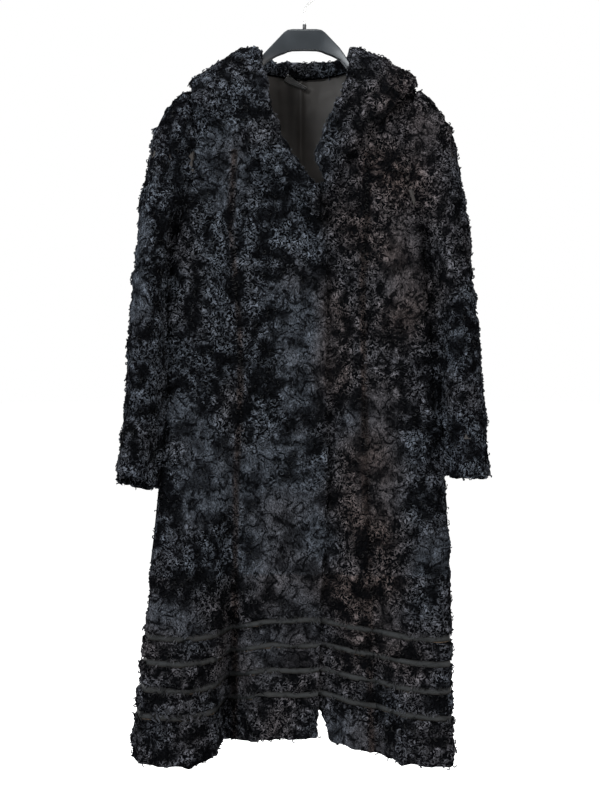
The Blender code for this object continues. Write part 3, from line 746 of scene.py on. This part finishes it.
def directions(spots, facing, flat, lead):
    """Which way each lock starts, along the surface, and to which side of that it turns.

    A lock runs round the middle of its rosette, or down where the hair is flat. lead is the way that
    it must go, or zero."""
    count = len(spots)
    middles = np.array([noise.voronoi(Vector(p) / ROSETTE)[1][0] * ROSETTE for p in spots])
    spoke = unit(across(spots - middles, facing))
    down = unit(across(np.array([[0.0, 0.0, -1.0]]), facing))
    ahead = np.cross(facing, spoke) * (1 - 0.7 * flat)[:, None] + down * (0.25 + 0.9 * flat)[:, None]
    ahead += 0.75 * chance.standard_normal((count, 3)) * (1 - 0.8 * flat)[:, None]
    led = (np.linalg.norm(lead, axis=1) > 0)[:, None]
    ahead = np.where(led, lead + 0.35 * chance.standard_normal((count, 3)), ahead)
    ahead = unit(across(ahead, facing))
    inward = np.where((np.cross(facing, ahead) * -spoke).sum(1) > 0, 1, -1)
    inward *= np.where(chance.random(count) < 0.8, 1, -1)
    return ahead, np.cross(facing, ahead) * inward[:, None]


def shape_locks(spots, facing, flat, lead, long):
    """The points of every lock: a ring of three at each of its widths, and a tip."""
    count, rings = len(spots), len(CURL_WIDTHS)
    ahead, beside = directions(spots, facing, flat, lead)
    straight = (flat > 0.5) | (np.linalg.norm(lead, axis=1) > 0)
    scale = chance.uniform(0.75, 1.2, count) * (1 + 0.7 * np.array([patch(LARGE_PATCHES, p) for p in spots]))
    tilt = np.where(straight, chance.uniform(*STRAIGHT_TILT, count), chance.uniform(*CURL_TILT, count))
    tilt = np.radians(tilt)[:, None]
    arc_up = beside * np.cos(tilt) + facing * np.sin(tilt)
    radius = scale * np.where(straight, STRAIGHT_RADIUS, chance.uniform(*CURL_RADIUS, count))
    radius[long] = OVERHANG_RADIUS * scale[long]
    sweep = np.where(straight, chance.uniform(*STRAIGHT_SWEEP, count), chance.uniform(*CURL_SWEEP, count))
    shrink = np.where(straight, STRAIGHT_SHRINK, CURL_SHRINK)
    wide = scale * np.where(straight, STRAIGHT_HALF, chance.uniform(*CURL_HALF, count))
    thick = scale * np.where(straight, STRAIGHT_THICK, CURL_THICK)
    root = spots - facing * 0.0005 - lead * 0.0015
    points = np.empty((count, rings * 3 + 1, 3))
    for k, t in enumerate(CURL_TURNS):
        angle = (sweep * t)[:, None]
        reach = (radius * (1 - shrink * t))[:, None]
        rise = facing * (0.0012 * math.sin(math.pi * (0.15 + 0.75 * t)))
        out = ahead * np.sin(angle) - arc_up * np.cos(angle)
        line = root + arc_up * radius[:, None] + out * reach + rise * (1 - 0.6 * flat)[:, None]
        if k == rings:
            points[:, -1] = line - facing * 0.0006
            break
        tangent = ahead * np.cos(angle) + arc_up * np.sin(angle)
        up = unit(across(facing + 0.35 * out, tangent))
        side = np.cross(tangent, up) * (wide * CURL_WIDTHS[k])[:, None]
        points[:, 3 * k] = line - side
        points[:, 3 * k + 1] = line + up * thick[:, None] * 1.5
        points[:, 3 * k + 2] = line + side
    return points


def grow_curls(name, spots, facing, mixes, lead, long):
    """One mesh of closed tapering locks, three-sided, each bent round on itself.

    lead is the way that a lock must go, or zero, and long tells the ones that hang over a tape."""
    count, rings = len(spots), len(CURL_WIDTHS)
    points = shape_locks(spots, facing, mixes[:, 2], lead, long)
    faces = [(0, 1, 2)]
    for k in range(rings):
        for a, b in ((0, 1), (1, 2), (2, 0)):
            if k < rings - 1:
                faces.append((3 * k + a, 3 * k + 3 + a, 3 * k + 3 + b, 3 * k + b))
            else:
                faces.append((3 * k + a, 3 * rings, 3 * k + b))
    sizes = np.tile([len(f) for f in faces], count)
    loops = (np.concatenate(faces)[None, :] + np.arange(count)[:, None] * points.shape[1]).ravel()
    mesh = bpy.data.meshes.new(name)
    mesh.vertices.add(points.shape[0] * points.shape[1])
    mesh.vertices.foreach_set("co", points.ravel())
    mesh.loops.add(len(loops))
    mesh.loops.foreach_set("vertex_index", loops)
    mesh.polygons.add(len(sizes))
    mesh.polygons.foreach_set("loop_start", np.concatenate([[0], np.cumsum(sizes)[:-1]]))
    mesh.update(calc_edges=True)
    mesh.shade_smooth()
    # Each lock takes the painted highlight of the hair where it grows, dimmed at random, with painted shade
    # at its root and painted highlight at its tip.
    pale = np.clip(mixes[:, 0] * chance.uniform(0.45, 1.0, count), 0, 1)
    shade = np.repeat(CURL_PAINTED_LIGHT, [3] * rings + [1])
    colors = np.empty((count, points.shape[1], 3))
    colors[:, :, 0] = np.clip(pale[:, None] * shade[None], 0, 1)
    colors[:, :, 1] = mixes[:, 1][:, None]
    colors[:, :, 2] = mixes[:, 2][:, None]
    paint_mesh(mesh, colors.reshape(-1, 3))
    # The map runs round each lock and along it, from a start of its own.
    around = np.append(np.tile([0.0, 0.5, 1.0], rings), 0.5)
    along = np.append(np.repeat(CURL_TURNS[:rings], 3), 1.0)
    uv = np.tile(np.stack([around, along], 1), (count, 1))
    uv[:, 0] += np.repeat(chance.random(count), points.shape[1]) * 8
    mesh.uv_layers.new(name="lock")
    mesh.uv_layers["lock"].data.foreach_set("uv", uv[loops].ravel())
    obj = bpy.data.objects.new(name, mesh)
    bpy.context.scene.collection.objects.link(obj)
    return obj


lock_hair, tree, shader = plain_material(
    "lock_hair", (0.02, 0.02, 0.024), 0.45, Specular_IOR_Level=0.08,
)
mix, gloss = hair_colors(tree)
lock_map = node(tree, "ShaderNodeUVMap", {"uv_map": "lock"})
stretch = node(tree, "ShaderNodeMapping", Vector=lock_map.outputs["UV"], Scale=(6, 1.2, 1)).outputs["Vector"]
strands = node(tree, "ShaderNodeTexNoise", Vector=stretch, Scale=1.6, Detail=3, Roughness=0.6)
streak = spread(tree, strands.outputs["Fac"], 0.32, 0.66, 0.25, 1.0)
# The lock's painted highlight is broken into streaks along its strands.
tone = math_node(tree, "MULTIPLY", mix.outputs["Red"], streak)
tree.links.new(blend_colors(tree, tone, BLACK_HAIR, gloss), shader.inputs["Base Color"])
tree.links.new(spread(tree, strands.outputs["Fac"], 0.0, 1.0, 0.34, 0.6), shader.inputs["Roughness"])
bump(tree, shader, strands.outputs["Fac"], 0.8, 0.0006)

curls = {}
for source, pelt in pelts.items():
    spots, facing = roots_on(pelt.data, CURL_SPACING)
    mixes = np.array([hair_mix(p) for p in spots])
    thick = chance.random(len(spots)) < 0.45 + 0.75 * mixes[:, 0]
    spots, facing, mixes = spots[thick], facing[thick], mixes[thick]
    hung = [b for b in brinks[source] if chance.random() < 0.5]
    over_seams = len(spots) + len(hung)
    for number in range(1, 5):
        if f"{source}_tape_{number}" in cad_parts:
            hung += lips_of(f"{source}_tape_{number}")
    hung_spots, hung_facing, hung_lead = np.array(hung, dtype=float).reshape(-1, 3, 3).transpose(1, 0, 2)
    hung_mixes = np.array([hair_mix(spot) for spot in hung_spots]).reshape(-1, 3)
    lead = np.concatenate([np.zeros((len(spots), 3)), hung_lead])
    spots = np.concatenate([spots, hung_spots])
    facing = np.concatenate([facing, hung_facing])
    mixes = np.concatenate([mixes, hung_mixes])
    long = np.arange(len(spots)) >= over_seams
    shares = math.ceil(len(spots) / MOST_LOCKS)
    order = np.argsort(-spots[:, 2])
    curls[source] = []
    for number, lot in enumerate(np.array_split(order, shares), 1):
        name = f"{source}_curls_{number}"
        made = grow_curls(name, spots[lot], facing[lot], mixes[lot], lead[lot], long[lot])
        made.data.materials.append(lock_hair)
        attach(made, "root")
        curls[source].append(made)


# ---------------------------------------------------------------------------------------------
# The tapes. Four bands of soft dark leather are let into the fur above the hem, in a length to
# each panel. Their lower edges are cut raw, so a thin pale line of hide shows there.
# ---------------------------------------------------------------------------------------------
TAPE_DROP = (0.005, 0.013)
TAPE_EDGE, TAPE_RIPPLE = 0.0052, 0.00045

tape_leather, tree, shader = plain_material(
    "tape_leather", (0.010, 0.011, 0.012), 0.5, Specular_IOR_Level=0.16,
)
place = node(tree, "ShaderNodeTexCoord").outputs["Object"]
low = node(tree, "ShaderNodeAttribute", {"attribute_name": "down"}).outputs["Fac"]
worn = node(tree, "ShaderNodeTexNoise", Vector=place, Scale=42, Detail=4)
wander = math_node(tree, "MULTIPLY_ADD", worn.outputs["Fac"], 0.24, -0.17)
# Painted shade: the band is darkest along its top, under the hair that hangs over it. It is dark again just
# above its raw edge, where the pale line of hide shows.
line = ramp(tree, math_node(tree, "ADD", low, wander), [
    (0.0, (0.002, 0.002, 0.002)), (0.3, (0.012, 0.013, 0.014)), (0.65, (0.009, 0.010, 0.010)),
    (0.80, (0.002, 0.002, 0.002)), (0.95, (0.004, 0.003, 0.002)), (0.99, (0.15, 0.10, 0.06)),
])
worn_tone = ramp(tree, worn.outputs["Fac"], [(0.3, 0.45), (0.7, 1.2)])
tree.links.new(blend_colors(tree, 0.8, line, worn_tone, "MULTIPLY"), shader.inputs["Base Color"])
tree.links.new(spread(tree, worn.outputs["Fac"], 0.35, 0.65, 0.28, 0.7), shader.inputs["Roughness"])
pores = node(tree, "ShaderNodeTexVoronoi", Vector=place, Scale=900)
creases = bump(tree, shader, worn.outputs["Fac"], 0.9, 0.006)
bump(tree, shader, pores.outputs["Distance"], 0.25, 0.0003, creases)

tapes = {}
for source in [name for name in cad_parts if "_tape_" in name]:
    tape = welded_copy(source, source + "_leather")
    # A point is on the raw lower edge where no other point of the tape lies right under it.
    points = np.array([v.co for v in tape.data.vertices])
    drop = points[:, None] - points[None]
    under = np.hypot(drop[:, :, 0], drop[:, :, 1]) < 0.005
    under &= (drop[:, :, 2] > TAPE_DROP[0]) & (drop[:, :, 2] < TAPE_DROP[1])
    down = tape.data.attributes.new("down", "FLOAT", "POINT")
    down.data.foreach_set("value", np.where(under.any(1), 0.0, 1.0))
    crease_corners(tape, math.radians(50))
    subdivide(tape, 1)
    form = bmesh.new()
    form.from_mesh(tape.data)
    cut_finely(form, TAPE_EDGE, lambda f: True)
    form.normal_update()
    for v in form.verts:
        v.co += v.normal * TAPE_RIPPLE * noise.noise(v.co * 110)
    bmesh.ops.triangulate(form, faces=form.faces)
    form.to_mesh(tape.data)
    form.free()
    tape.data.shade_smooth()
    tape.data.set_sharp_from_angle(angle=math.radians(50))
    tape.data.materials.append(tape_leather)
    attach(tape, "root")
    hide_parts(source)
    tapes.setdefault(source.rsplit("_tape_", 1)[0], []).append(tape)


# ---------------------------------------------------------------------------------------------
# The lining. Dark grey-brown satin lies on the skin side of the back. It has a pleat down the
# centre back for ease, and soft creases where it hangs from the neck.
# ---------------------------------------------------------------------------------------------
PLEAT_X, PLEAT_HALF, PLEAT_RISE = -0.006, 0.0045, 0.0050
HANG_RISE, RIPPLE_RISE = 0.0065, 0.0012
LINING_EDGE, SHOWN = 0.0050, -0.3

lining = welded_copy("back_lining", "back_lining_satin")
crease_corners(lining, math.radians(50))
subdivide(lining, 1)
form = bmesh.new()
form.from_mesh(lining.data)
cut_finely(form, LINING_EDGE, lambda f: f.normal.y < SHOWN)
form.normal_update()
for v in form.verts:
    if v.normal.y > SHOWN:
        continue
    fold = PLEAT_RISE * math.exp(-(((v.co.x - PLEAT_X) / PLEAT_HALF) ** 2))
    hang = max(0.0, noise.noise(Vector((v.co.x * 38, v.co.y * 8, v.co.z * 7))))
    v.co.y -= fold + HANG_RISE * hang + RIPPLE_RISE * max(0.0, noise.noise(v.co * 60))
bmesh.ops.triangulate(form, faces=form.faces)
form.to_mesh(lining.data)
form.free()
lining.data.shade_smooth()
lining.data.set_sharp_from_angle(angle=math.radians(60))
lining.data.materials.append(coat_lining)
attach(lining, "root")
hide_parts("back_lining")


# ---------------------------------------------------------------------------------------------
# The hanging loop. A strip of black satin, folded in three ridges, is stitched across the back
# of the neck at both ends.
# ---------------------------------------------------------------------------------------------
loop_satin, tree, shader = plain_material(
    "loop_satin", (0.008, 0.008, 0.010), 0.3, Specular_IOR_Level=0.3,
)
place = node(tree, "ShaderNodeTexCoord").outputs["Object"]
threads = node(
    tree, "ShaderNodeTexWave", {"bands_direction": "DIAGONAL"}, Vector=place, Scale=700, Distortion=0.6,
)
soft = node(tree, "ShaderNodeTexNoise", Vector=place, Scale=120, Detail=3)
tree.links.new(ramp(tree, soft.outputs["Fac"], [(0.3, 0.004), (0.7, 0.010)]), shader.inputs["Base Color"])
waves = bump(tree, shader, soft.outputs["Fac"], 0.4, 0.0008)
bump(tree, shader, threads.outputs["Fac"], 0.2, 0.0002, waves)
loop = welded_copy("hanging_loop", "hanging_loop_satin")
crease_corners(loop, math.radians(75))
subdivide(loop, 2)
loop.data.shade_smooth()
loop.data.materials.append(loop_satin)
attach(loop, "root")
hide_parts("hanging_loop")


# ---------------------------------------------------------------------------------------------
# The hanger. One moulding of slate-black plastic, with flat facets across the middle, softened
# edges and a hollow underside. The fine grain of the mould is left on it.
# ---------------------------------------------------------------------------------------------
hanger_plastic, tree, shader = plain_material(
    "hanger_plastic", (0.010, 0.012, 0.014), 0.36, Specular_IOR_Level=0.3,
)
place = node(tree, "ShaderNodeTexCoord").outputs["Object"]
haze = node(tree, "ShaderNodeTexNoise", Vector=place, Scale=24, Detail=5)
slate = ramp(tree, haze.outputs["Fac"], [(0.3, (0.008, 0.010, 0.012)), (0.7, (0.012, 0.015, 0.018))])
tree.links.new(slate, shader.inputs["Base Color"])
tree.links.new(spread(tree, haze.outputs["Fac"], 0.0, 1.0, 0.3, 0.46), shader.inputs["Roughness"])
grain = node(tree, "ShaderNodeTexNoise", Vector=place, Scale=1500, Detail=2)
bump(tree, shader, grain.outputs["Fac"], 0.12, 0.0002)


def soften_edges(obj, width, segments, angle, smooth):
    """Rounds the edges sharper than the angle, and shades what is flatter than smooth as one."""
    alone(obj)
    soften = obj.modifiers.new("softened", "BEVEL")
    soften.width, soften.segments = width, segments
    soften.limit_method, soften.angle_limit = "ANGLE", math.radians(angle)
    bpy.ops.object.modifier_apply(modifier="softened")
    bpy.ops.object.shade_smooth_by_angle(angle=math.radians(smooth))


hanger = welded_copy("hanger", "hanger_moulding")
soften_edges(hanger, 0.0007, 3, 28, 24)
hanger.data.materials.append(hanger_plastic)
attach(hanger, "root")
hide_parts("hanger")


# ---------------------------------------------------------------------------------------------
# The ferrule. A small black plastic sleeve is pressed into the middle of the hanger where the
# wire goes in.
# ---------------------------------------------------------------------------------------------
ferrule_plastic, tree, shader = plain_material("ferrule_plastic", (0.008, 0.008, 0.009), 0.4)
place = node(tree, "ShaderNodeTexCoord").outputs["Object"]
scuffs = node(tree, "ShaderNodeTexNoise", Vector=place, Scale=260, Detail=4)
tree.links.new(spread(tree, scuffs.outputs["Fac"], 0.0, 1.0, 0.3, 0.52), shader.inputs["Roughness"])
bump(tree, shader, scuffs.outputs["Fac"], 0.15, 0.0002)
ferrule = welded_copy("ferrule", "ferrule_sleeve")
soften_edges(ferrule, 0.0002, 2, 40, 40)
ferrule.data.materials.append(ferrule_plastic)
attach(ferrule, "root")
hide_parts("ferrule")


# ---------------------------------------------------------------------------------------------
# The hook. Bright steel wire goes down through the ferrule into the hanger and is bent round
# above, open at the wearer's right. Drawing has left faint lines along it.
# ---------------------------------------------------------------------------------------------
hook_steel, tree, shader = plain_material("hook_steel", (0.6, 0.6, 0.58), 0.24, Metallic=1.0)
place = node(tree, "ShaderNodeTexCoord").outputs["Object"]
dull = node(tree, "ShaderNodeTexNoise", Vector=place, Scale=90, Detail=5)
steel = ramp(tree, dull.outputs["Fac"], [(0.3, (0.5, 0.5, 0.49)), (0.7, (0.68, 0.68, 0.66))])
tree.links.new(steel, shader.inputs["Base Color"])
tree.links.new(spread(tree, dull.outputs["Fac"], 0.0, 1.0, 0.18, 0.36), shader.inputs["Roughness"])
drawn = node(tree, "ShaderNodeTexNoise", Vector=place, Scale=1600, Detail=1)
bump(tree, shader, drawn.outputs["Fac"], 0.08, 0.0001)
hook = welded_copy("hook", "hook_wire")
crease_corners(hook, math.radians(70))
subdivide(hook, 2)
hook.data.shade_smooth()
hook.data.set_sharp_from_angle(angle=math.radians(60))
hook.data.materials.append(hook_steel)
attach(hook, "root")
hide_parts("hook")
